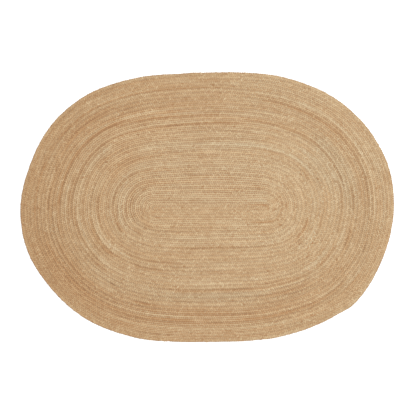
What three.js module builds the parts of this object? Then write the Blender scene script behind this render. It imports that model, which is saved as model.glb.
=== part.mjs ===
// Oval braided jute rug.
// One long flat braid is wound round a short straight centre line and sewn edge to edge,
// so the whole rug is a single piece: a flat underside, and a top with one raised rib a row.
// Millimetres, +Z up, +X along the rug. The origin is under the middle of the rug's box.

import * as THREE from "three";

// Thickness
const THICKNESS = 9; // underside to the top of a row
const GROOVE_Z = 5.6; // bottom of the groove between two rows
const EDGE_Z = 2.4; // the outer row bulges from here up to the groove's height
const UNDERCUT = 3; // how far the flat underside stays inside the outline

// The winding
const TURNS = 35; // rows between the centre line and the outline
const SHOULDER = 0.27; // a row's flat top starts and ends this share of its width from its edges
const TAIL_START = 0.895; // on the last turn, as a share of the loop, where the row begins to taper
const TAIL_END = 0.96; // where it is tucked away

// The straight line that the first row follows, measured from the middle of the rug's box
const CENTRE_LINE = { left: -259, right: 285, y: -4 };

// The loop starts at the right end of the centre line and runs anticlockwise:
// quarter turn, straight top, half turn, straight bottom, quarter turn.
const QUARTER_SHARE = 0.196; // share of the loop that each quarter turn takes
const QUARTER_STEPS = 12;
const SIDE_STEPS = 6;
const COARSE_TURNS = 13; // the short inner rows have every second step only

// How far the rug reaches from its centre line, as uneven as a hand-wound rug is.
// at: share of the loop, reach: millimetres
const REACH = [
  { at: 0.0, reach: 615 },
  { at: 0.042, reach: 621 },
  { at: 0.083, reach: 621 },
  { at: 0.125, reach: 623 },
  { at: 0.167, reach: 628 },
  { at: 0.208, reach: 649 },
  { at: 0.25, reach: 652 },
  { at: 0.292, reach: 642 },
  { at: 0.333, reach: 628 },
  { at: 0.375, reach: 632 },
  { at: 0.417, reach: 633 },
  { at: 0.458, reach: 630 },
  { at: 0.5, reach: 641 },
  { at: 0.542, reach: 642 },
  { at: 0.583, reach: 629 },
  { at: 0.625, reach: 627 },
  { at: 0.667, reach: 628 },
  { at: 0.708, reach: 644 },
  { at: 0.75, reach: 647 },
  { at: 0.792, reach: 640 },
  { at: 0.833, reach: 618 },
  { at: 0.875, reach: 618 },
  { at: 0.895, reach: 628 },
  { at: 0.93, reach: 615 },
  { at: 0.958, reach: 611 },
];

// Smooth reach at any place on the loop: a cubic through the table's rows, closed on itself
function reachAt(at) {
  const rows = REACH.length;
  const next = REACH.findIndex((row) => row.at > at);
  const i = (next < 0 ? rows : next) - 1;
  const row = (k) => {
    const wrapped = REACH[(k + rows) % rows];
    return { at: wrapped.at + Math.floor(k / rows), reach: wrapped.reach };
  };
  const [a, b, c, d] = [row(i - 1), row(i), row(i + 1), row(i + 2)];
  const span = c.at - b.at;
  const slopeB = ((c.reach - a.reach) / (c.at - a.at)) * span;
  const slopeC = ((d.reach - b.reach) / (d.at - b.at)) * span;
  const f = (at - b.at) / span;
  const g = 1 - f;
  return (
    b.reach * g * g * (1 + 2 * f) +
    slopeB * f * g * g +
    c.reach * f * f * (3 - 2 * f) -
    slopeC * f * f * g
  );
}

// Where the loop leaves the centre line, and in which direction it reaches out
function spoke(at) {
  const sideShare = 0.5 - 2 * QUARTER_SHARE;
  const { left, right } = CENTRE_LINE;
  const quarter = Math.PI / 2;
  if (at < QUARTER_SHARE) return { x: right, bearing: (at / QUARTER_SHARE) * quarter };
  if (at < 0.5 - QUARTER_SHARE) {
    const along = (at - QUARTER_SHARE) / sideShare;
    return { x: right + (left - right) * along, bearing: quarter };
  }
  if (at < 0.5 + QUARTER_SHARE) {
    return { x: left, bearing: Math.PI + ((at - 0.5) / QUARTER_SHARE) * quarter };
  }
  if (at < 1 - QUARTER_SHARE) {
    const along = (at - 0.5 - QUARTER_SHARE) / sideShare;
    return { x: left + (right - left) * along, bearing: 3 * quarter };
  }
  return { x: right, bearing: ((at - 1) / QUARTER_SHARE) * quarter };
}

// Rows between the centre line and the outline: one more for each turn wound, until the tail
function rowsAt(at) {
  const tucked = THREE.MathUtils.smoothstep(at, TAIL_START, TAIL_END);
  return TURNS + at - tucked;
}

// The point that lies rowCount rows out from the centre line, less an inset in millimetres
function pointAt(at, rowCount, z, inset = 0) {
  const { x, bearing } = spoke(at);
  const distance = (reachAt(at) * rowCount) / rowsAt(at) - inset;
  return new THREE.Vector3(
    x + distance * Math.cos(bearing),
    CENTRE_LINE.y + distance * Math.sin(bearing),
    z,
  );
}

// Steps round the loop, as shares of it
function loopSteps() {
  const steps = [];
  const stretch = (from, to, count) => {
    for (let i = 0; i < count; i++) steps.push(from + ((to - from) * i) / count);
  };
  stretch(0, QUARTER_SHARE, QUARTER_STEPS);
  stretch(QUARTER_SHARE, 0.5 - QUARTER_SHARE, SIDE_STEPS);
  stretch(0.5 - QUARTER_SHARE, 0.5 + QUARTER_SHARE, 2 * QUARTER_STEPS);
  stretch(0.5 + QUARTER_SHARE, 1 - QUARTER_SHARE, SIDE_STEPS);
  stretch(1 - QUARTER_SHARE, 1, QUARTER_STEPS);
  return steps;
}

// The places along the winding, in turns, from the rug's middle to the end of the last row.
// One step is moved to the very end of the tail.
function windingPlaces() {
  const fine = loopSteps();
  const nearest = fine.reduce((best, step) =>
    Math.abs(step - TAIL_END) < Math.abs(best - TAIL_END) ? step : best,
  );
  fine[fine.indexOf(nearest)] = TAIL_END;
  const coarse = fine.filter((step, i) => i % 2 === 0 || step === TAIL_END);
  const places = [];
  for (let turn = 0; turn <= TURNS; turn++) {
    for (const step of turn < COARSE_TURNS ? coarse : fine) {
      if (turn + step <= TURNS + TAIL_END) places.push(turn + step);
    }
  }
  return places;
}

// A mesh being gathered: points, and triangles that skip those with no area
class Skin {
  points = [];
  triangles = [];

  add(point) {
    this.points.push(point);
    return this.points.length - 1;
  }

  triangle(a, b, c) {
    if (a !== b && b !== c && c !== a) this.triangles.push(a, b, c);
  }

  // Joins two lines of { place, index }; seen from outside, far lies to the right of near
  join(near, far) {
    let i = 0;
    let j = 0;
    while (i < near.length - 1 || j < far.length - 1) {
      const nearNext = i < near.length - 1 ? near[i + 1].place : Infinity;
      const farNext = j < far.length - 1 ? far[j + 1].place : Infinity;
      if (farNext <= nearNext) {
        this.triangle(near[i].index, far[j].index, far[j + 1].index);
        j++;
      } else {
        this.triangle(near[i].index, far[j].index, near[i + 1].index);
        i++;
      }
    }
  }
}

function makeRug() {
  const skin = new Skin();
  const places = windingPlaces();
  const lastPlace = TURNS - 1 + TAIL_END;
  const share = (place) => place - Math.floor(place);
  const rowsOut = (place) => Math.min(place, rowsAt(share(place)));

  // The groove winds from the middle to the outline, where it is the rug's edge.
  // It ends on the point that it passed one turn before, at the tip of the tail.
  const groove = places.map((place) => ({
    place,
    index: skin.add(pointAt(share(place), rowsOut(place), GROOVE_Z)),
  }));
  const tip = groove.find(({ place }) => Math.abs(place - lastPlace) < 1e-9);
  groove[groove.length - 1].index = tip.index;

  // A row's flat top lies between two shoulders, and sinks where the tail grows narrow
  const shoulder = (shareOfRow) =>
    groove
      .filter(({ place }) => place <= tip.place)
      .map(({ place }) => {
        if (place === tip.place) return tip;
        const width = rowsOut(place + 1) - place;
        const height = GROOVE_Z + (THICKNESS - GROOVE_Z) * Math.min(1, 2 * width);
        const rowCount = place + width * shareOfRow;
        return { place, index: skin.add(pointAt(share(place), rowCount, height)) };
      });
  const innerShoulder = shoulder(SHOULDER);
  const outerShoulder = shoulder(1 - SHOULDER);
  const innerGroove = groove.filter(({ place }) => place <= tip.place);
  const outerGroove = groove
    .filter(({ place }) => place >= 1)
    .map(({ place, index }) => ({ place: place - 1, index }));
  skin.join(innerGroove, innerShoulder);
  skin.join(innerShoulder, outerShoulder);
  skin.join(outerShoulder, outerGroove);

  // The first row runs along the centre line, inside the first turn of the groove
  const firstTurn = groove.filter(({ place }) => place <= 1);
  const half = (firstTurn.length - 1) / 2;
  const ridge = [];
  for (let k = 1; k < half; k++) {
    const middle = skin.points[firstTurn[k].index]
      .clone()
      .add(skin.points[firstTurn[firstTurn.length - 1 - k].index])
      .multiplyScalar(0.5);
    middle.z = THICKNESS;
    ridge.push({ place: k, index: skin.add(middle) });
  }
  const topSide = firstTurn.slice(0, half + 1).map(({ index }, k) => ({ place: k, index }));
  const bottomSide = firstTurn
    .slice(half)
    .reverse()
    .map(({ index }, k) => ({ place: k, index }));
  skin.join(ridge, topSide);
  skin.join(bottomSide, ridge);
  const rowStart = [
    bottomSide[0],
    outerShoulder[0],
    innerShoulder[0],
    topSide[0],
  ].map(({ index }) => index);
  for (let k = 0; k < rowStart.length - 1; k++) {
    skin.triangle(ridge[0].index, rowStart[k], rowStart[k + 1]);
  }

  // The edge bulges over the floor and turns in to the flat underside
  const outline = groove.filter(({ place }) => place >= tip.place);
  const ring = (z, inset) => {
    const line = outline.slice(0, -1).map(({ place }) => ({
      place,
      index: skin.add(pointAt(share(place), rowsOut(place), z, inset)),
    }));
    return [...line, { place: outline[outline.length - 1].place, index: line[0].index }];
  };
  const lowEdge = ring(EDGE_Z, 0);
  const underside = ring(0, UNDERCUT);
  skin.join(outline, lowEdge);
  skin.join(lowEdge, underside);
  const flat = underside.slice(0, -1).map(({ index }) => index);
  const corners = flat.map((index) => skin.points[index]);
  for (const [a, b, c] of THREE.ShapeUtils.triangulateShape(corners, [])) {
    skin.triangle(flat[a], flat[c], flat[b]);
  }

  const geometry = new THREE.BufferGeometry().setFromPoints(skin.points);
  geometry.setIndex(skin.triangles);
  geometry.computeVertexNormals();
  return geometry;
}

const jute = new THREE.MeshStandardMaterial({
  name: "jute",
  color: 0xc4a47e,
  roughness: 0.92,
  metalness: 0,
});

const rug = new THREE.Mesh(makeRug(), jute);
rug.name = "rug";

// The middle of the rug's box goes over the origin
rug.geometry.computeBoundingBox();
const middle = rug.geometry.boundingBox.getCenter(new THREE.Vector3());
rug.position.set(-middle.x, -middle.y, 0);

const part = new THREE.Group();
part.name = "oval_braided_rug";
part.add(rug);

export default part;
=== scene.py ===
"""Oval braided jute rug: one flat braid of three strands, wound in a spiral and sewn edge to edge.

Metres, +Z up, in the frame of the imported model. The strands are real tubes that cross over and
under each other; the yarns and fibres on them are in the material.
"""

import math

import bpy
import numpy as np
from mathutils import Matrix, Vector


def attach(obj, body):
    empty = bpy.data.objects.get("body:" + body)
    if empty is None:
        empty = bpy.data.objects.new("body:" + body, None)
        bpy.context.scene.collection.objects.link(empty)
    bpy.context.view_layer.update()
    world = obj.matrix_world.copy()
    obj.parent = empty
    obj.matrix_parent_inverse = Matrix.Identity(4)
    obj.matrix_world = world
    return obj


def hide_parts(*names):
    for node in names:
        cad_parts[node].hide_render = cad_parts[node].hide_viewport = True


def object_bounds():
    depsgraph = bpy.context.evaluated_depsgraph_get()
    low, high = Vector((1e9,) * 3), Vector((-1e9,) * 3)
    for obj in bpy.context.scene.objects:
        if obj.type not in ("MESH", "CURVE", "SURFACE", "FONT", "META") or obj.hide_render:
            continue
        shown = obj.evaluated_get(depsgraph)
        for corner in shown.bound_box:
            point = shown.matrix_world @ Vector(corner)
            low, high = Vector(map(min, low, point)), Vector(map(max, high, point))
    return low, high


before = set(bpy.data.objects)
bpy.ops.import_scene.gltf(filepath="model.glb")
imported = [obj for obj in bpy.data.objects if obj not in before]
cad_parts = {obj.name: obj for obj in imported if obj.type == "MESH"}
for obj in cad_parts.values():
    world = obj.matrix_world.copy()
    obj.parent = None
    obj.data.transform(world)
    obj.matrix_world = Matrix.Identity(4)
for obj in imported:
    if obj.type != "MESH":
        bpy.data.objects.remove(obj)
cad_low, cad_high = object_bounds()

# The winding, as in the solid
TURNS = 35
TAIL_START, TAIL_END = 0.895, 0.96  # shares of the loop
CENTRE_LEFT, CENTRE_RIGHT, CENTRE_Y = -0.259, 0.285, -0.004
QUARTER_SHARE = 0.196  # share of the loop that each quarter turn takes
REACH = [  # share of the loop, metres from the centre line to the edge
    (0.0, 0.615),
    (0.042, 0.621),
    (0.083, 0.621),
    (0.125, 0.623),
    (0.167, 0.628),
    (0.208, 0.649),
    (0.25, 0.652),
    (0.292, 0.642),
    (0.333, 0.628),
    (0.375, 0.632),
    (0.417, 0.633),
    (0.458, 0.630),
    (0.5, 0.641),
    (0.542, 0.642),
    (0.583, 0.629),
    (0.625, 0.627),
    (0.667, 0.628),
    (0.708, 0.644),
    (0.75, 0.647),
    (0.792, 0.640),
    (0.833, 0.618),
    (0.875, 0.618),
    (0.895, 0.628),
    (0.93, 0.615),
    (0.958, 0.611),
]
FIRST_PLACE = -(0.5 - QUARTER_SHARE)  # turns: the left end of the centre line
LAST_PLACE = TURNS - 1 + TAIL_END - 0.008  # turns: the tail's cut end, just before its tip
LEAD_IN = 0.006  # the braid starts this far before the centre line
EDGE_SAMPLES = 2000  # of the edge, for the rug's box
PLACE_SAMPLES = 12000  # of the winding, for the length of braid
PHASE_SAMPLES = 60000  # of the winding, for the crossings

# The rows aren't evenly spread between the centre line and the edge
ROW_SHIFTS = [  # share of the loop, rows that the middle rows lie further out, and the outer rows
    (0.0, -0.27, 0.22),
    (0.075, -0.28, 0.1),
    (0.12, -0.13, 0.02),
    (0.187, -0.05, 0.13),
    (0.212, 0.45, 0.45),
    (0.24, 0.77, 0.87),
    (0.275, 0.54, 0.93),
    (0.3125, 0.15, 0.68),
    (0.35, 0.25, 0.57),
    (0.4, 0.44, 0.78),
    (0.45, 0.66, 0.82),
    (0.5, 0.42, 0.75),
    (0.54, 0.37, 0.88),
    (0.59, 0.33, 0.95),
    (0.625, -0.06, 0.79),
    (0.69, -0.17, 0.6),
    (0.725, 0.2, 0.88),
    (0.77, -0.05, 1.0),
    (0.82, -0.27, 0.58),
    (0.865, 0.03, 0.85),
    (0.9, -0.1, 0.42),
    (0.935, -0.1, 0.58),
    (0.975, -0.42, 0.27),
]
INNER_SHIFT = -0.4  # rows that the inner rows lie further out
INNER_SETS_IN, INNER_FADES = (0, 4), (6, 11)  # between these rows
MIDDLE_SETS_IN = (0, 9)
OUTER_TAKES_OVER = (20, 31)
SHIFT_FADES_OVER = 5  # rows, at the edge

# The braid
THICKNESS = cad_high.z - cad_low.z
STRANDS = 3
CROSSING_PERIOD = 0.0325  # braid length in which a strand goes to both edges and back
STEPS_PER_PERIOD = 8
ROW_WIDTH = 0.018
SWING = 0.355  # how far a strand swings to each side, in row widths
SWING_FLATNESS = 0.08  # how much longer a strand stays at the edges than in an even swing
LATE_RISE = 0.25  # how much nearer the rows' edges a strand is highest than in an even rise
RISE_PEAK = 1.09  # the most that the rise comes to
HALF_WIDE, HALF_THICK = 0.0045, 0.0026  # a strand, across
LOWEST = 0.0002  # a strand's underside over the floor
NARROW_ROW = 0.6  # rows; in a row narrower than this the braid grows thinner
LEAST_BRAID = 0.3  # share of the braid's thickness that is left at the tail's end
LEAST_WIDE, LEAST_THICK = 0.45, 0.4  # and of a strand's width and thickness
SIDES = 6  # of a strand's tube
BANDS = 5  # pieces that the winding is cut into
CORE_LOW, CORE_HIGH = 0.35, 0.66  # the web of thread, as shares of the thickness
CORE_INSET = 0.3  # rows from the web to the edge
CORE_STEPS, CORE_RINGS = 240, 2 * TURNS
LOOP_LENGTH = 3.5  # metres, of a middling loop of the winding

# What is uneven along the braid: spread, grain in metres, seed
PHASE_DRIFT = (0.35, 0.12, 11)  # of the crossings, in radians
WOBBLE_DRIFT = (0.02, 0.07, 12)  # of the braid's place in its row, in row widths
SWING_DRIFT = (0.07, 0.04, 21)  # of each strand's swing
LIFT_DRIFT = (0.08, 0.03, 25)  # of each strand's rise
WIDTH_DRIFT = (0.08, 0.02, 31)  # of each strand's width
BRAID_WARMTH = (0.015, 0.3, 71)
STRAND_WARMTH = (0.02, 0.1, 81)
BRAID_TONES = [  # brightness of all three strands
    (0.022, 0.16, 41),
    (0.018, 0.5, 42),
]
STRAND_TONES = [  # and of each strand by itself
    (0.035, 0.03, 51),
    (0.03, 0.12, 61),
    (0.07, 0.011, 65),
]
CORE_TONES = [  # brightness of the web
    (0.12, 0.06, 101),
    (0.12, 0.25, 102),
]
KNOT_SPREAD = 1.2  # makes up for what values lose in spread where two of them are blended

# Brightness is a natural logarithm against the middle tone
LIGHT_TOWARDS_RIGHT, LIGHT_TOWARDS_BACK = 0.072, 0.018  # painted light: more brightness for each metre that way
ZONES = [  # turn, brightness
    (0, 0.05),
    (5, 0.045),
    (9, 0.075),
    (12, 0.05),
    (16, 0.05),
    (20, 0.05),
    (23, 0.0),
    (26, -0.055),
    (28, -0.045),
    (31, -0.025),
    (34, 0.0),
]

# Darker and lighter stretches of single rows: partly the jute's own tone, and the dark ones partly painted
# shadow in grooves where rows lie apart
STREAKS = [  # turn, shares of the loop from and to, brightness
    (-0.2, 0.85, 0.99, -0.30),
    (0.3, 0.0, 0.2, -0.24),
    (0.5, 0.19, 0.21, -0.30),
    (1.9, 0.196, 0.21, 0.24),
    (2.0, 0.01, 0.06, 0.12),
    (2.0, 0.42, 0.47, -0.14),
    (2.4, 0.05, 0.09, 0.11),
    (2.6, 0.12, 0.2, 0.09),
    (2.9, 0.25, 0.28, 0.09),
    (2.9, 0.92, 0.98, 0.11),
    (3.0, 0.38, 0.48, 0.09),
    (3.7, 0.07, 0.1, -0.16),
    (3.7, 0.79, 0.87, -0.28),
    (3.7, 0.87, 0.99, -0.18),
    (4.4, 0.77, 0.88, 0.12),
    (4.9, 0.3, 0.38, 0.09),
    (5.2, 0.198, 0.206, -0.35),
    (5.2, 0.35, 0.39, -0.16),
    (5.2, 0.64, 0.69, -0.16),
    (5.7, 0.43, 0.56, -0.12),
    (6.2, 0.0, 0.03, -0.14),
    (6.7, 0.14, 0.2, 0.09),
    (6.7, 0.82, 0.85, -0.14),
    (6.8, 0.5, 0.55, -0.16),
    (7.0, 0.222, 0.237, -0.14),
    (7.3, 0.3, 0.41, -0.16),
    (7.4, 0.71, 0.8, 0.09),
    (7.6, 0.39, 0.46, 0.09),
    (8.3, 0.0, 0.02, -0.12),
    (8.3, 0.48, 0.58, 0.12),
    (9.0, 0.49, 0.53, -0.14),
    (9.1, 0.4, 0.45, 0.12),
    (9.9, 0.31, 0.55, -0.14),
    (9.9, 0.55, 0.58, -0.26),
    (9.9, 0.71, 0.78, -0.20),
    (10.0, 0.79, 0.89, -0.10),
    (10.5, 0.42, 0.48, 0.14),
    (10.7, 0.27, 0.42, 0.11),
    (11.1, 0.9, 0.965, -0.28),
    (12.9, 0.57, 0.66, -0.10),
    (13.2, 0.3, 0.36, -0.20),
    (13.6, 0.88, 0.95, 0.09),
    (14.0, 0.05, 0.1, -0.13),
    (14.0, 0.47, 0.55, -0.16),
    (14.0, 0.63, 0.72, -0.17),
    (14.3, 0.93, 1.0, 0.11),
    (14.5, 0.51, 0.64, 0.21),
    (15.0, 0.05, 0.22, -0.10),
    (15.0, 0.95, 1.0, -0.12),
    (15.3, 0.54, 0.62, 0.11),
    (15.6, 0.08, 0.34, 0.14),
    (16.1, 0.33, 0.38, -0.12),
    (16.1, 0.52, 0.62, -0.24),
    (16.1, 0.65, 0.71, -0.16),
    (16.7, 0.54, 0.61, -0.26),
    (17.1, 0.18, 0.26, -0.12),
    (17.9, 0.56, 0.59, -0.14),
    (18.0, 0.4, 0.53, -0.14),
    (19.2, 0.52, 0.61, 0.20),
    (19.4, 0.38, 0.53, 0.16),
    (19.5, 0.72, 0.79, 0.11),
    (19.6, 0.84, 0.86, 0.10),
    (20.0, 0.96, 1.0, -0.15),
    (20.1, 0.5, 0.61, -0.10),
    (20.1, 0.79, 0.85, -0.15),
    (20.5, 0.72, 0.83, 0.09),
    (20.8, 0.29, 0.37, -0.20),
    (20.9, 0.57, 0.62, -0.20),
    (20.9, 0.89, 0.93, -0.20),
    (21.0, 0.0, 0.04, -0.22),
    (21.0, 0.37, 0.52, -0.20),
    (21.0, 0.8, 0.88, -0.16),
    (21.1, 0.22, 0.29, -0.26),
    (21.2, 0.71, 0.8, -0.22),
    (21.3, 0.31, 0.38, 0.17),
    (21.4, 0.14, 0.22, 0.14),
    (21.5, 0.9, 1.0, 0.11),
    (21.6, 0.25, 0.31, 0.17),
    (21.6, 0.78, 0.86, 0.12),
    (21.8, 0.45, 0.52, -0.18),
    (21.9, 0.13, 0.21, -0.18),
    (22.0, 0.04, 0.13, -0.28),
    (22.5, 0.0, 0.13, 0.12),
    (22.6, 0.46, 0.55, 0.15),
    (23.1, 0.94, 0.98, -0.20),
    (23.2, 0.24, 0.33, -0.25),
    (23.2, 0.8, 0.87, -0.18),
    (23.5, 0.19, 0.26, 0.12),
    (23.8, 0.26, 0.31, 0.20),
    (23.9, 0.35, 0.4, -0.15),
    (24.0, 0.0, 0.035, -0.22),
    (24.2, 0.34, 0.5, -0.30),
    (24.8, 0.3, 0.35, 0.22),
    (24.8, 0.7, 0.77, 0.09),
    (24.9, 0.1, 0.22, 0.09),
    (25.0, 0.36, 0.49, 0.15),
    (25.1, 0.27, 0.31, 0.17),
    (25.2, 0.67, 0.7, -0.24),
    (25.4, 0.5, 0.55, 0.09),
    (26.1, 0.54, 0.6, -0.16),
    (26.2, 0.01, 0.1, -0.10),
    (26.9, 0.45, 0.5, -0.13),
    (27.0, 0.72, 0.82, -0.10),
    (27.5, 0.45, 0.56, 0.11),
    (27.6, 0.64, 0.75, 0.17),
    (27.6, 0.75, 0.9, 0.14),
    (27.8, 0.1, 0.2, -0.24),
    (27.9, 0.0, 0.1, -0.14),
    (28.0, 0.35, 0.42, -0.16),
    (28.3, 0.78, 0.91, -0.18),
    (28.4, 0.45, 0.53, 0.09),
    (28.4, 0.69, 0.73, -0.30),
    (28.5, 0.0, 0.06, 0.09),
    (28.8, 0.35, 0.39, -0.12),
    (29.0, 0.0, 0.13, -0.10),
    (29.1, 0.65, 0.79, -0.14),
    (29.5, 0.3, 0.5, 0.11),
    (29.6, -0.02, 0.14, 0.14),
    (29.6, 0.14, 0.3, 0.11),
    (29.7, 0.9, 0.93, 0.14),
    (30.2, 0.24, 0.42, -0.16),
    (30.3, 0.9, 0.93, -0.22),
    (30.6, 0.45, 0.51, -0.18),
    (30.8, 0.3, 0.4, 0.15),
    (30.8, 0.7, 0.87, 0.12),
    (30.9, 0.63, 0.7, 0.15),
    (31.5, 0.84, 0.87, -0.12),
    (31.7, 0.94, 1.0, -0.10),
    (32.8, 0.0, 0.04, -0.12),
    (33.6, 0.29, 0.49, -0.12),
]

STREAK_WIDTH = 0.3  # rows to each side
STREAK_FADE = 0.01  # share of the loop, to each side of a streak's ends
CORE_SHADE_STRENGTH = 1.5  # of the streaks, which are deepest between the rows, where the dark ones are painted shadow in the grooves

# Broad stretches. Warmth is a natural logarithm of red against blue.
STRETCHES = [  # turns from and to, shares of the loop from and to, more brightness, more warmth
    (1.0, 5.0, 0.5, 0.66, -0.06, 0.0),
    (1.0, 7.0, 0.0, 0.1, -0.03, 0.02),
    (1.5, 2.5, 0.197, 0.209, 0.0, -0.10),
    (2.0, 8.0, 0.3, 0.36, -0.02, 0.03),
    (7.0, 9.5, 0.65, 0.73, 0.04, 0.0),
    (9.0, 13.0, 0.87, 0.96, -0.05, 0.02),
    (11.0, 14.0, 0.37, 0.42, 0.0, 0.03),
    (12.0, 14.5, 0.54, 0.59, 0.0, 0.03),
    (12.5, 17.5, 0.34, 0.425, -0.07, 0.02),
    (13.0, 17.0, 0.54, 0.68, 0.05, 0.0),
    (13.5, 18.0, 0.09, 0.22, 0.04, 0.0),
    (15.0, 17.0, 0.2, 0.3, 0.0, -0.04),
    (15.0, 21.0, 0.04, 0.11, 0.0, -0.06),
    (18.0, 26.0, 0.28, 0.38, 0.0, 0.05),
    (18.0, 25.0, 0.58, 0.67, 0.03, 0.0),
    (19.5, 24.0, 0.43, 0.52, 0.045, 0.0),
    (20.0, 24.0, 0.55, 0.7, 0.0, -0.03),
    (21.0, 25.0, 0.0, 0.12, 0.0, -0.10),
    (21.5, 24.0, 0.7, 0.8, 0.02, -0.06),
    (24.0, 34.0, 0.13, 0.23, 0.035, -0.02),
    (25.0, 29.0, 0.72, 0.88, 0.0, 0.03),
    (26.0, 29.0, -0.02, 0.02, 0.04, 0.0),
    (26.0, 31.0, 0.54, 0.64, 0.0, 0.03),
    (27.5, 32.0, 0.53, 0.68, -0.07, 0.01),
    (29.0, 31.5, 0.72, 0.79, 0.05, 0.0),
]
STRETCH_FADE = (1.0, 0.02)  # turns, and share of the loop, to each side of a stretch's ends
RIDGE_SHADINGS = [  # turns from and to, shares of the loop from and to, what is added to the painted light and shade across each row
    (0.0, 9.0, 0.19, 0.58, 0.22),
    (0.0, 9.0, 0.0, 0.1, 0.12),
    (0.0, 9.0, 0.69, 0.8, 0.12),
    (9.0, 26.0, 0.2, 0.54, 0.14),
    (18.0, 26.0, 0.0, 0.2, 0.06),
    (26.0, 34.0, 0.5, 0.68, 0.1),
    (26.0, 34.0, 0.68, 0.8, 0.2),
    (26.0, 34.0, -0.1, 0.2, 0.12),
]
RIDGE_SHADING = 0.13  # painted light and shade: half of how much brighter a row is along its middle than halfway to its edges
WARMTH_OF_DARK = 0.25  # how much redder, for each step darker, a place on the rug is
COOLER_LIGHT_TOWARDS_RIGHT = 0.02  # painted cool light: less warmth for each metre that way
WARM_TINT = (1.045, 0.985, 0.925)  # the reddest jute against the middling one
WARMTH_REACH = 0.12  # warmth of the reddest jute

# The jute itself, with painted shade on its strands' sides and feet
SIDE_SHADE = -0.15  # brightness of a strand's two sides, darker as painted shade where they press against the next strands
CREST_WEAR_AND_SHADE = 0.8  # more brightness at the crests of the strands than at their feet: partly faded tops, partly painted shade low down
CREST_LEVEL = 0.81  # share of the thickness where a strand has its own brightness
SPECKS = 90  # short dark bits of bark on each strand
SPECK_LENGTHS = (0.004, 0.009)  # half a speck, metres
SPECK_DEPTHS = (0.1, 0.5)  # less brightness
SPECK_REACH = 0.02  # metres, beyond which a speck has no effect
SPECK_SEED = 91
TWIST = 12.0  # times that the yarns wind round a strand in a metre
YARNS = (9, 0.03, 1.0)  # grains round a strand, length of one in metres, detail
FIBRES = (60, 0.006, 2.0)
FUZZ = (50, 0.0006, 1.0)
YARN_TONE, FIBRE_TONE = 0.35, 0.8  # more brightness from the darkest to the lightest
YARN_HEIGHT, FUZZ_HEIGHT = 2.0, 0.4  # against the fibres' height
BUMP_DEPTH, CORE_BUMP_DEPTH = 0.0006, 0.001
CORE_GRAINS = (2500.0, 50.0, 1.0)  # grains in a metre across and along the rows
TONE_RANGE = 0.8  # from the darkest colour to the lightest
JUTE_COLOURS = ((0.286, 0.155, 0.0665), (0.382, 0.247, 0.1262), (0.507, 0.3885, 0.2368))
# the web's colours, darker than the jute as painted shade in the gaps between strands
CORE_SHADE_COLOURS = ((0.20, 0.11, 0.05), (0.31, 0.195, 0.10), (0.43, 0.31, 0.19))

# The maps
FIBRE_MAP, BAKE_MAP = "fibre", "OFBake"
STRAND_OFFSET = 0.5  # metres on the fibre map from one strand to the next
STRIP_CELLS = 279  # lengths of strand in one strip of the map for baked colours
STRIP_FILL = 0.92  # share of a strip's width
CAP_STEP, CAP_INSET = 0.1, 0.02  # where the tubes' flat ends lie on that map
CAP_RADIUS = 0.015

# The photograph
PHOTO_SIDE = 415
PHOTO_RUG_WIDTH = 373.4
PHOTO_RUG_CENTRE = (206.8, 206.6)
CAMERA_HEIGHT = 6.0  # metres over the rug
SENSOR_WIDTH = 36.0  # millimetres

# The studio
FLOOR_HALF = 20.0
STUDIO_STRENGTH = 0.95
SOFTBOX_SIZE, SOFTBOX_WATTS = 2.0, 200.0
SOFTBOX_PLACE = (1.2, 0.3, 5.0)  # up on the right, which is the lighter side of the rug


def smooth(low, high, x):
    """0 below low, 1 above high, and an S-curve between."""
    t = np.clip((x - low) / (high - low), 0, 1)
    return t * t * (3 - 2 * t)


def round_loop(stations, values, at):
    """A cubic through values at stations on the loop, closed on itself."""
    count = len(stations)
    i = np.searchsorted(stations, at, side="right") - 1

    def row(k):
        return stations[k % count] + k // count, values[k % count]

    (at_a, a), (at_b, b), (at_c, c), (at_d, d) = row(i - 1), row(i), row(i + 1), row(i + 2)
    span = at_c - at_b
    slope_b = (c - a) / (at_c - at_a) * span
    slope_c = (d - b) / (at_d - at_b) * span
    f = (at - at_b) / span
    g = 1 - f
    return b * g * g * (1 + 2 * f) + slope_b * f * g * g + c * f * f * (3 - 2 * f) - slope_c * f * f * g


def spoke(at):
    """Where a loop leaves the centre line, and the bearing in which it reaches out."""
    side = 0.5 - 2 * QUARTER_SHARE
    quarter = math.pi / 2
    top = (at - QUARTER_SHARE) / side
    bottom = (at - 0.5 - QUARTER_SHARE) / side
    length = CENTRE_RIGHT - CENTRE_LEFT
    ends = [QUARTER_SHARE, 0.5 - QUARTER_SHARE, 0.5 + QUARTER_SHARE, 1 - QUARTER_SHARE]
    cases = [at < end for end in ends]
    x = np.select(
        cases,
        [CENTRE_RIGHT, CENTRE_RIGHT - length * top, CENTRE_LEFT, CENTRE_LEFT + length * bottom],
        CENTRE_RIGHT,
    )
    bearing = np.select(
        cases,
        [at / QUARTER_SHARE, 1, 2 + (at - 0.5) / QUARTER_SHARE, 3],
        4 + (at - 1) / QUARTER_SHARE,
    )
    return x, bearing * quarter


def rows_at(at):
    """Rows between the centre line and the edge."""
    return TURNS + at - smooth(TAIL_START, TAIL_END, at)


def row_shift(at, rows):
    """Rows that a row lies further out than evenly spread rows; none at the centre line and the edge."""
    stations, middle, outer = np.array(ROW_SHIFTS).T
    inner = INNER_SHIFT * smooth(*INNER_SETS_IN, rows) * (1 - smooth(*INNER_FADES, rows))
    middle = round_loop(stations, middle, at) * smooth(*MIDDLE_SETS_IN, rows)
    outer = round_loop(stations, outer, at) * np.clip((rows_at(at) - rows) / SHIFT_FADES_OVER, 0, 1)
    outwards = smooth(*OUTER_TAKES_OVER, rows)
    return (inner + middle) * (1 - outwards) + outer * outwards


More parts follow.
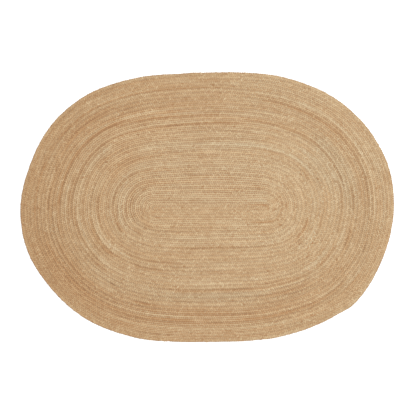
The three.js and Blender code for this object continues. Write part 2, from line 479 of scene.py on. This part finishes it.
def point_at(at, rows):
    """The point so many rows out from the centre line."""
    x, bearing = spoke(at)
    reach = round_loop(*np.array(REACH).T, at)
    distance = reach * (rows + row_shift(at, rows)) / rows_at(at)
    return np.stack([x + distance * np.cos(bearing), CENTRE_Y + distance * np.sin(bearing)], -1)


def box_middle():
    """The middle of the rug's box, which goes over the origin."""
    at = np.arange(0, 1, 1 / EDGE_SAMPLES)
    edge = point_at(at, rows_at(at))
    return (edge.min(0) + edge.max(0)) / 2


MIDDLE = box_middle()


def row_of(place):
    """The middle of the row at a place in turns, in rows from the centre line, and its width in rows."""
    outer = np.minimum(place + 1, rows_at(np.mod(place + 1, 1)))
    return (place + outer) / 2, outer - place


def wind():
    """Places along the braid, in turns, and the length of braid up to each."""
    place = np.linspace(FIRST_PLACE, LAST_PLACE, PLACE_SAMPLES)
    xy = point_at(np.mod(place, 1), row_of(place)[0])
    return place, np.r_[0, np.cumsum(np.hypot(*np.diff(xy, axis=0).T))]


PLACES, LENGTHS = wind()


def drift(length, uneven, strand=0):
    """Random values that change smoothly along the braid, with a spread, a grain in metres and a seed."""
    spread, grain, seed = uneven
    last_knot = int((LENGTHS[-1] + LEAD_IN) / grain) + 1
    knots = np.random.default_rng(seed + strand).standard_normal(last_knot + 1)
    place = (length + LEAD_IN) / grain
    i = place.astype(int)
    f = smooth(0, 1, place - i)
    return spread * KNOT_SPREAD * (knots[i] * (1 - f) + knots[i + 1] * f)


def drifts(length, table, strand=0):
    """The sum of the drifts in a table."""
    return sum(drift(length, uneven, strand) for uneven in table)


def crossing_phase(length, strand):
    """A strand's place in its swing from edge to edge, in radians."""
    turns = length / CROSSING_PERIOD + strand / STRANDS
    return 2 * math.pi * turns + drift(length, PHASE_DRIFT)


def strand_stations(strand):
    """Lengths at which the strand's swing has gone on by one step."""
    fine = np.linspace(-LEAD_IN, LENGTHS[-1], PHASE_SAMPLES)
    phase = crossing_phase(fine, strand)
    step = 2 * math.pi / STEPS_PER_PERIOD
    wanted = np.arange(math.ceil(phase[0] / step), math.floor(phase[-1] / step) + 1) * step
    return np.interp(wanted, phase, fine)


def thinned(size, least, full):
    """A size of the braid, which shrinks to the least share of it as the row narrows and full goes to 0."""
    return size * (least + (1 - least) * full)


def strand_path(length, strand):
    """The middle line of a strand, which swings from edge to edge and over and under the others."""
    place = np.interp(length, LENGTHS, PLACES)
    middle, width = row_of(place)
    phase = crossing_phase(length, strand)
    swing = SWING * (np.sin(phase) + SWING_FLATNESS * np.sin(3 * phase))
    across = swing * (1 + drift(length, SWING_DRIFT, strand)) + drift(length, WOBBLE_DRIFT)
    xy = point_at(np.mod(place, 1), middle + across * width) - MIDDLE
    xy[:, 0] += np.minimum(length, 0)
    full = smooth(0, NARROW_ROW, width)
    half = thinned(THICKNESS / 2, LEAST_BRAID, full)
    rise = (np.sin(2 * phase) - LATE_RISE * np.sin(4 * phase)) / RISE_PEAK
    lift = (half - thinned(HALF_THICK, LEAST_THICK, full)) * rise
    lift *= 1 + drift(length, LIFT_DRIFT, strand)
    return np.column_stack([xy, half + lift]), across * width, full


def strand_rings(path, full, length, strand):
    """Rings of points round a strand, SIDES to a ring."""
    tangent = np.gradient(path, axis=0)
    tangent /= np.linalg.norm(tangent, axis=1, keepdims=True)
    side = np.column_stack([tangent[:, 1], -tangent[:, 0], np.zeros(len(path))])
    side /= np.linalg.norm(side, axis=1, keepdims=True)
    over = np.cross(side, tangent)
    wide = thinned(HALF_WIDE, LEAST_WIDE, full) * (1 + drift(length, WIDTH_DRIFT, strand))
    thick = thinned(HALF_THICK, LEAST_THICK, full)
    angle = 2 * math.pi * np.arange(SIDES) / SIDES
    rings = (
        path[:, None, :]
        + wide[:, None, None] * np.cos(angle)[:, None] * side[:, None, :]
        + thick[:, None, None] * np.sin(angle)[:, None] * over[:, None, :]
    )
    rings[..., 2] = np.clip(rings[..., 2], LOWEST, THICKNESS)
    return rings


def between(start, end, fade, x):
    """1 between start and end, 0 outside, and an S-curve at each of them."""
    return smooth(start - fade, start + fade, x) - smooth(end - fade, end + fade, x)


def streak_tone(turn, share):
    """Brightness of the single streaks."""
    tone = np.zeros_like(turn)
    for laps in (-1, 0, 1):
        for streak_turn, start, end, strength in STREAKS:
            across = np.exp(-(((turn - laps - streak_turn) / STREAK_WIDTH) ** 2))
            tone += strength * across * between(start, end, STREAK_FADE, share + laps)
    return tone


def stretch_sums(stretches, turn, share):
    """What a table of stretches adds up to at places on the rug, one sum for each of its last columns."""
    turns_fade, share_fade = STRETCH_FADE
    sums = np.zeros((len(stretches[0]) - 4, *turn.shape))
    # what runs past the loop's end goes on one turn further out, and past its start one turn further in
    for laps in (-1, 0, 1):
        for inner, outer, start, end, *values in stretches:
            weight = between(inner, outer, turns_fade, turn - laps)
            weight = weight * between(start, end, share_fade, share + laps)
            sums += np.multiply.outer(values, weight)
    return sums


def place_look(xy, turn, share):
    """Brightness and warmth that belong to a place on the rug, with painted light growing towards the right
    and back.
    """
    tone, warmth = stretch_sums(STRETCHES, turn, share)
    tone += np.interp(turn, *np.array(ZONES).T) + streak_tone(turn, share)
    # painted light, brighter towards the right and back
    tone += LIGHT_TOWARDS_RIGHT * xy[..., 0] + LIGHT_TOWARDS_BACK * xy[..., 1]
    # painted cool light towards the right
    warmth -= COOLER_LIGHT_TOWARDS_RIGHT * xy[..., 0] + WARMTH_OF_DARK * tone
    return tone, warmth


def speck_tone(length, seed):
    """Brightness of the specks on a strand."""
    random = np.random.default_rng(seed)
    tone = np.zeros(len(length))
    for middle in random.uniform(0, LENGTHS[-1], SPECKS):
        near = slice(*np.searchsorted(length, [middle - SPECK_REACH, middle + SPECK_REACH]))
        half = random.uniform(*SPECK_LENGTHS)
        tone[near] -= random.uniform(*SPECK_DEPTHS) * np.exp(-(((length[near] - middle) / half) ** 2))
    return tone


def strand_colour(length, rings, across, strand):
    """Brightness, warmth, place across the row and painted ridge shading at each point of a strand's rings.
    """
    place = np.interp(length, LENGTHS, PLACES)
    share = np.mod(place, 1)
    angle = 2 * math.pi * np.arange(SIDES) / SIDES
    # the right-hand side of the braid, which winds anticlockwise, faces the edge of the rug
    outwards = HALF_WIDE / ROW_WIDTH * np.cos(angle)
    across = across[:, None] + outwards
    turn = (place - share + 0.5)[:, None] + across
    share = np.broadcast_to(share[:, None], turn.shape)
    tone, warmth = place_look(rings[..., :2], turn, share)
    warmth += (drift(length, BRAID_WARMTH) + drift(length, STRAND_WARMTH, strand))[:, None]
    own = drifts(length, BRAID_TONES) + drifts(length, STRAND_TONES, strand)
    own += speck_tone(length, SPECK_SEED + strand)
    # painted shade low down on each strand, and partly faded crests
    tone += own[:, None] + CREST_WEAR_AND_SHADE * (rings[..., 2] / THICKNESS - CREST_LEVEL)
    # painted shade on each strand's two sides
    tone += SIDE_SHADE * np.isclose(np.abs(np.cos(angle)), 1)
    # painted light and shade across the row
    ridge_shading = RIDGE_SHADING + stretch_sums(RIDGE_SHADINGS, turn, share)[0]
    return {"tone": tone, "warmth": warmth, "across": across, "ridge_shading": ridge_shading}


def make_strand(strand):
    """A strand's lengths, its rings of points and what the material needs at each point."""
    length = strand_stations(strand)
    path, across, full = strand_path(length, strand)
    rings = strand_rings(path, full, length, strand)
    return {"length": length, "rings": rings, **strand_colour(length, rings, across, strand)}


def value_layer(mesh, name, values):
    """A value for each point of a mesh."""
    layer = mesh.attributes.new(name, "FLOAT", "POINT")
    layer.data.foreach_set("value", np.ascontiguousarray(values, dtype=np.float32).ravel())


def corner_map(mesh, name, uv):
    """A map with a place for each corner of a mesh's faces."""
    layer = mesh.uv_layers.new(name=name)
    layer.uv.foreach_set("vector", np.ascontiguousarray(uv, dtype=np.float32).ravel())


def add_mesh(name, points, corners, sizes, smooth_faces):
    """An object from points, the corners of its faces in turn, and each face's number of corners."""
    mesh = bpy.data.meshes.new(name)
    mesh.vertices.add(len(points))
    mesh.vertices.foreach_set("co", np.ascontiguousarray(points, dtype=np.float32).ravel())
    mesh.loops.add(len(corners))
    mesh.loops.foreach_set("vertex_index", np.ascontiguousarray(corners, dtype=np.int32))
    mesh.polygons.add(len(sizes))
    mesh.polygons.foreach_set("loop_start", np.r_[0, np.cumsum(sizes)[:-1]].astype(np.int32))
    mesh.polygons.foreach_set("use_smooth", smooth_faces)
    mesh.update(calc_edges=True)
    added = bpy.data.objects.new(name, mesh)
    bpy.context.scene.collection.objects.link(added)
    return added


def tube_faces(first, rings):
    """Corners of the faces between neighbouring rings."""
    ring = np.arange(rings - 1)[:, None] * SIDES + first
    k = np.arange(SIDES)
    k_next = (k + 1) % SIDES
    return np.stack([ring + k, ring + k_next, ring + SIDES + k_next, ring + SIDES + k], -1)


def face_rectangles(low_u, high_u, low_v, high_v):
    """Map corners in the order of tube_faces, where u goes round the tube and v along it."""
    low_u, high_u, low_v, high_v = np.broadcast_arrays(low_u, high_u, low_v, high_v)
    corners = [(low_u, low_v), (high_u, low_v), (high_u, high_v), (low_u, high_v)]
    return np.stack([np.stack(corner, -1) for corner in corners], -2)


def strip_rectangles(cell, strips):
    """The map for baked colours: the strands cut into strips, one above the other."""
    k = np.arange(SIDES)
    margin = (1 - STRIP_FILL) / 2
    row = (cell // STRIP_CELLS)[:, None] + margin
    low = (row + STRIP_FILL * k / SIDES) / strips
    high = (row + STRIP_FILL * (k + 1) / SIDES) / strips
    left = (cell % STRIP_CELLS)[:, None] / STRIP_CELLS
    return face_rectangles(low, high, left, left + 1 / STRIP_CELLS)[..., ::-1]


def end_cap(first, last_ring, number, strips):
    """The flat face that closes a tube, and its corners on the map for baked colours."""
    order = np.arange(SIDES) if last_ring else np.arange(SIDES)[::-1]
    angle = 2 * math.pi * order / SIDES
    round_it = np.column_stack([np.cos(angle), np.sin(angle)])
    middle = np.array([CAP_STEP * (1 + number), CAP_INSET / strips])
    return first + last_ring * SIDES + order, middle + CAP_RADIUS / strips * round_it


def make_band(name, parts):
    """One stretch of all three strands, as closed tubes in one mesh."""
    counts = [len(part["length"]) for part in parts]
    strips = math.ceil((sum(counts) - len(counts)) / STRIP_CELLS)
    corners, sizes, smooth_faces, fibre, bake = [], [], [], [], []
    first, cell = 0, 0
    for strand, part in enumerate(parts):
        count = len(part["length"])
        quads = tube_faces(first, count)
        k = np.arange(SIDES)
        along = (part["length"] + STRAND_OFFSET * strand)[:, None]
        corners.append(quads.ravel())
        sizes += [4] * (quads.size // 4)
        smooth_faces += [True] * (quads.size // 4)
        fibre.append(face_rectangles(k / SIDES, (k + 1) / SIDES, along[:-1], along[1:]).reshape(-1, 2))
        bake.append(strip_rectangles(cell + np.arange(count - 1), strips).reshape(-1, 2))
        for number, last_ring in enumerate((0, count - 1)):
            cap, cap_map = end_cap(first, last_ring, 2 * strand + number, strips)
            corners.append(cap)
            sizes.append(SIDES)
            smooth_faces.append(False)
            fibre.append(np.zeros((SIDES, 2)))
            bake.append(cap_map)
        first += count * SIDES
        cell += count - 1
    points = np.concatenate([part["rings"].reshape(-1, 3) for part in parts])
    band = add_mesh(name, points, np.concatenate(corners), np.array(sizes), np.array(smooth_faces))
    for layer in ("tone", "warmth", "across", "ridge_shading"):
        value_layer(band.data, layer, np.concatenate([part[layer].ravel() for part in parts]))
    corner_map(band.data, FIBRE_MAP, np.concatenate(fibre))
    corner_map(band.data, BAKE_MAP, np.concatenate(bake))
    return band


def make_bands():
    """The whole winding, cut into bands."""
    strands = [make_strand(strand) for strand in range(STRANDS)]
    bands = []
    for number in range(BANDS):
        parts = []
        for strand in strands:
            count = len(strand["length"]) - 1
            part = slice(count * number // BANDS, count * (number + 1) // BANDS + 1)
            parts.append({name: values[part] for name, values in strand.items()})
        bands.append(make_band(f"braid_rows_{number + 1}", parts))
    return bands


def core_faces():
    """Corners of the web's faces in turn, and each face's number of corners."""
    ring = np.arange(CORE_RINGS - 1)[:, None] * CORE_STEPS
    k = np.arange(CORE_STEPS)
    k_next = (k + 1) % CORE_STEPS
    web = np.stack([ring + k, ring + CORE_STEPS + k, ring + CORE_STEPS + k_next, ring + k_next], -1)
    edge = (CORE_RINGS - 1) * CORE_STEPS
    lower = edge + CORE_STEPS
    wall = np.column_stack([edge + k, lower + k, lower + k_next, edge + k_next])
    quads = np.concatenate([web.reshape(-1, 4), wall])
    corners = np.concatenate([quads.ravel(), k, lower + k[::-1]])
    return corners, np.array([4] * len(quads) + [CORE_STEPS, CORE_STEPS])


def core_map(rows, at, corners, sizes):
    """Metres across the rows and along the loop, at each corner of the web's faces."""
    across = (rows * ROW_WIDTH).ravel()
    along = np.broadcast_to(at * LOOP_LENGTH, rows.shape).ravel()
    across = np.r_[across, across[-CORE_STEPS:]][corners]
    along = np.r_[along, along[-CORE_STEPS:]][corners]
    # the faces that close the loop have the loop's end on their far side
    quads = len(sizes) - 2
    closing = np.arange(len(sizes)) % CORE_STEPS == CORE_STEPS - 1
    closing[quads:] = False
    along = along + LOOP_LENGTH * (np.repeat(closing, sizes) & (along == 0))
    return np.column_stack([across, along])


def make_core():
    """The web of thread between and under the strands, which holds the rows together; its dark colour is
    painted shade in the gaps.
    """
    at = np.arange(CORE_STEPS) / CORE_STEPS
    shares = np.arange(1, CORE_RINGS + 1) / CORE_RINGS
    rows = shares[:, None] * (rows_at(at) - CORE_INSET)
    plan = point_at(at, rows) - MIDDLE
    top = np.column_stack([plan.reshape(-1, 2), np.full(rows.size, CORE_HIGH * THICKNESS)])
    bottom = np.column_stack([plan[-1], np.full(CORE_STEPS, CORE_LOW * THICKNESS)])
    corners, sizes = core_faces()
    core = add_mesh("rug_core", np.concatenate([top, bottom]), corners, sizes, np.zeros(len(sizes), bool))
    tone, warmth = place_look(plan, rows - at, np.broadcast_to(at, rows.shape))
    length = np.interp(np.maximum(rows - 0.5, FIRST_PLACE), PLACES, LENGTHS)
    # painted shadow: the tones, dark streaks most of all, are deeper in the web between the rows
    tone = CORE_SHADE_STRENGTH * tone + drifts(length, CORE_TONES)
    value_layer(core.data, "tone", np.r_[tone.ravel(), tone[-1]])
    value_layer(core.data, "warmth", np.r_[warmth.ravel(), warmth[-1]])
    corner_map(core.data, FIBRE_MAP, core_map(rows, at, corners, sizes))
    return core


def new_material(name):
    """A material with a principled shader."""
    material = bpy.data.materials.new(name)
    material.use_nodes = True
    tree = material.node_tree
    tree.nodes.clear()
    output = tree.nodes.new("ShaderNodeOutputMaterial")
    shader = tree.nodes.new("ShaderNodeBsdfPrincipled")
    tree.links.new(shader.outputs["BSDF"], output.inputs["Surface"])
    return material, tree, shader


def connect(tree, value, socket):
    """Sets a socket to a number or a colour, or links another socket to it."""
    if isinstance(value, bpy.types.NodeSocket):
        tree.links.new(value, socket)
    elif isinstance(value, tuple):
        socket.default_value = (*value, 1)
    else:
        socket.default_value = value


def attribute(tree, name):
    """The value that a mesh has under this name at each point."""
    node = tree.nodes.new("ShaderNodeAttribute")
    node.attribute_name = name
    return node.outputs["Fac"]


def maths(tree, operation, a, b=0.0, clamp=False):
    """A sum, product or other function of two values."""
    node = tree.nodes.new("ShaderNodeMath")
    node.operation = operation
    node.use_clamp = clamp
    connect(tree, a, node.inputs[0])
    connect(tree, b, node.inputs[1])
    return node.outputs[0]


def mixed(tree, share, a, b):
    """A mixture of two colours, with a share of the second."""
    node = tree.nodes.new("ShaderNodeMix")
    node.data_type = "RGBA"
    connect(tree, share, node.inputs["Factor"])
    connect(tree, a, node.inputs["A"])
    connect(tree, b, node.inputs["B"])
    return node.outputs["Result"]


def ramp(tree, place, colours):
    """Colours at even steps from 0 to 1."""
    node = tree.nodes.new("ShaderNodeValToRGB")
    stops = node.color_ramp.elements
    while len(stops) < len(colours):
        stops.new(0.5)
    for number, (stop, colour) in enumerate(zip(stops, colours)):
        stop.position = number / (len(colours) - 1)
        stop.color = (*colour, 1)
    connect(tree, place, node.inputs["Fac"])
    return node.outputs["Color"]


def vector_of(tree, x, y, z):
    """A vector of three values."""
    node = tree.nodes.new("ShaderNodeCombineXYZ")
    for socket, value in zip(node.inputs, (x, y, z)):
        connect(tree, value, socket)
    return node.outputs["Vector"]


def noise(tree, vector, detail):
    """Noise from -0.5 to 0.5, with a grain of one unit."""
    node = tree.nodes.new("ShaderNodeTexNoise")
    node.inputs["Scale"].default_value = 1.0
    node.inputs["Detail"].default_value = detail
    tree.links.new(vector, node.inputs["Vector"])
    return maths(tree, "SUBTRACT", node.outputs["Fac"], 0.5)


def fibre_place(tree):
    """The place on the fibre map."""
    node = tree.nodes.new("ShaderNodeUVMap")
    node.uv_map = FIBRE_MAP
    return node.outputs["UV"]


def strand_noise(tree, grains):
    """Noise on a strand, from the number of grains round it, their length in metres and their detail."""
    round_grains, grain_length, detail = grains
    parts = tree.nodes.new("ShaderNodeSeparateXYZ")
    tree.links.new(fibre_place(tree), parts.inputs["Vector"])
    along = parts.outputs["Y"]
    twist = maths(tree, "MULTIPLY", along, TWIST)
    angle = maths(tree, "MULTIPLY", maths(tree, "ADD", parts.outputs["X"], twist), 2 * math.pi)
    radius = round_grains / (2 * math.pi)
    x = maths(tree, "MULTIPLY", maths(tree, "COSINE", angle), radius)
    y = maths(tree, "MULTIPLY", maths(tree, "SINE", angle), radius)
    return noise(tree, vector_of(tree, x, y, maths(tree, "DIVIDE", along, grain_length)), detail)


def jute_colour(tree, tone, colours):
    """Dark, middling and light jute by its tone, each tinted by the warmth."""
    level = maths(tree, "ADD", maths(tree, "DIVIDE", tone, TONE_RANGE), 0.5, clamp=True)
    warm = ramp(tree, level, [tuple(c * t for c, t in zip(colour, WARM_TINT)) for colour in colours])
    cool = ramp(tree, level, [tuple(c / t for c, t in zip(colour, WARM_TINT)) for colour in colours])
    share = maths(tree, "MULTIPLY", attribute(tree, "warmth"), 0.5 / WARMTH_REACH)
    return mixed(tree, maths(tree, "ADD", share, 0.5, clamp=True), cool, warm)


def roughen(tree, shader, height, depth):
    """Fine relief in the material: a height of 1 stands out by the depth in metres."""
    bump = tree.nodes.new("ShaderNodeBump")
    bump.inputs["Strength"].default_value = 1.0
    bump.inputs["Distance"].default_value = depth
    tree.links.new(height, bump.inputs["Height"])
    tree.links.new(bump.outputs["Normal"], shader.inputs["Normal"])


def jute_material():
    """Twisted yarns of fine fibres, with painted light along the middle of each row and painted shade
    beside it.
    """
    material, tree, shader = new_material("jute")
    yarns = strand_noise(tree, YARNS)
    fibres = strand_noise(tree, FIBRES)
    fuzz = strand_noise(tree, FUZZ)
    # painted light along each row's middle, painted shade halfway to its edges
    ridge_shading = maths(tree, "COSINE", maths(tree, "MULTIPLY", attribute(tree, "across"), 4 * math.pi))
    ridge_shading = maths(tree, "MULTIPLY", ridge_shading, attribute(tree, "ridge_shading"))
    tone = maths(tree, "ADD", attribute(tree, "tone"), ridge_shading)
    tone = maths(tree, "ADD", tone, maths(tree, "MULTIPLY", yarns, YARN_TONE))
    tone = maths(tree, "ADD", tone, maths(tree, "MULTIPLY", fibres, FIBRE_TONE))
    tree.links.new(jute_colour(tree, tone, JUTE_COLOURS), shader.inputs["Base Color"])
    shader.inputs["Roughness"].default_value = 0.88
    shader.inputs["Specular IOR Level"].default_value = 0.2
    shader.inputs["Sheen Weight"].default_value = 0.15
    shader.inputs["Sheen Roughness"].default_value = 0.6
    height = maths(tree, "ADD", maths(tree, "MULTIPLY", yarns, YARN_HEIGHT), fibres)
    height = maths(tree, "ADD", height, maths(tree, "MULTIPLY", fuzz, FUZZ_HEIGHT))
    roughen(tree, shader, height, BUMP_DEPTH)
    return material


def shaded_core_material():
    """Fibres pressed together along the rows, in dark colours that paint the shade between the strands."""
    material, tree, shader = new_material("shaded_jute_core")
    stretched = tree.nodes.new("ShaderNodeMapping")
    stretched.inputs["Scale"].default_value = CORE_GRAINS
    tree.links.new(fibre_place(tree), stretched.inputs["Vector"])
    fibres = noise(tree, stretched.outputs["Vector"], detail=2.0)
    tone = maths(tree, "ADD", attribute(tree, "tone"), fibres)
    tree.links.new(jute_colour(tree, tone, CORE_SHADE_COLOURS), shader.inputs["Base Color"])
    shader.inputs["Roughness"].default_value = 0.95
    roughen(tree, shader, fibres, CORE_BUMP_DEPTH)
    return material


def make_camera():
    """Straight over the rug, with the photograph's scale on the rug's top."""
    pixel = (cad_high.x - cad_low.x) / PHOTO_RUG_WIDTH
    camera = bpy.data.cameras.new("camera")
    camera.sensor_width = SENSOR_WIDTH
    camera.lens = SENSOR_WIDTH * CAMERA_HEIGHT / (PHOTO_SIDE * pixel)
    placed = bpy.data.objects.new("camera", camera)
    middle = (PHOTO_SIDE - 1) / 2
    placed.location = (
        (middle - PHOTO_RUG_CENTRE[0]) * pixel,
        (PHOTO_RUG_CENTRE[1] - middle) * pixel,
        THICKNESS + CAMERA_HEIGHT,
    )
    bpy.context.scene.collection.objects.link(placed)
    bpy.context.scene.camera = placed


def make_lights():
    """An even white studio and a softbox."""
    world = bpy.data.worlds.new("studio")
    world.use_nodes = True
    background = world.node_tree.nodes["Background"]
    background.inputs["Color"].default_value = (1, 1, 1, 1)
    background.inputs["Strength"].default_value = STUDIO_STRENGTH
    bpy.context.scene.world = world
    light = bpy.data.lights.new("softbox", "AREA")
    light.shape = "SQUARE"
    light.size = SOFTBOX_SIZE
    light.energy = SOFTBOX_WATTS
    softbox = bpy.data.objects.new("softbox", light)
    softbox.location = SOFTBOX_PLACE
    softbox.rotation_euler = (-softbox.location).to_track_quat("-Z", "Y").to_euler()
    bpy.context.scene.collection.objects.link(softbox)


def make_floor():
    """A plain pale floor."""
    corners = [(-1, -1, 0), (1, -1, 0), (1, 1, 0), (-1, 1, 0)]
    points = FLOOR_HALF * np.array(corners)
    floor = add_mesh("floor", points, np.arange(4), np.array([4]), np.array([False]))
    material, _, shader = new_material("pale_floor")
    shader.inputs["Base Color"].default_value = (0.93, 0.93, 0.93, 1)
    shader.inputs["Roughness"].default_value = 0.9
    floor.data.materials.append(material)


make_camera()
make_lights()
make_floor()
bpy.context.scene.view_settings.view_transform = "Standard"

jute = jute_material()
bands = make_bands()
for band in bands:
    band.data.materials.append(jute)
core = make_core()
core.data.materials.append(shaded_core_material())

for piece in [core, *bands]:
    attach(piece, "root")
    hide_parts("rug")
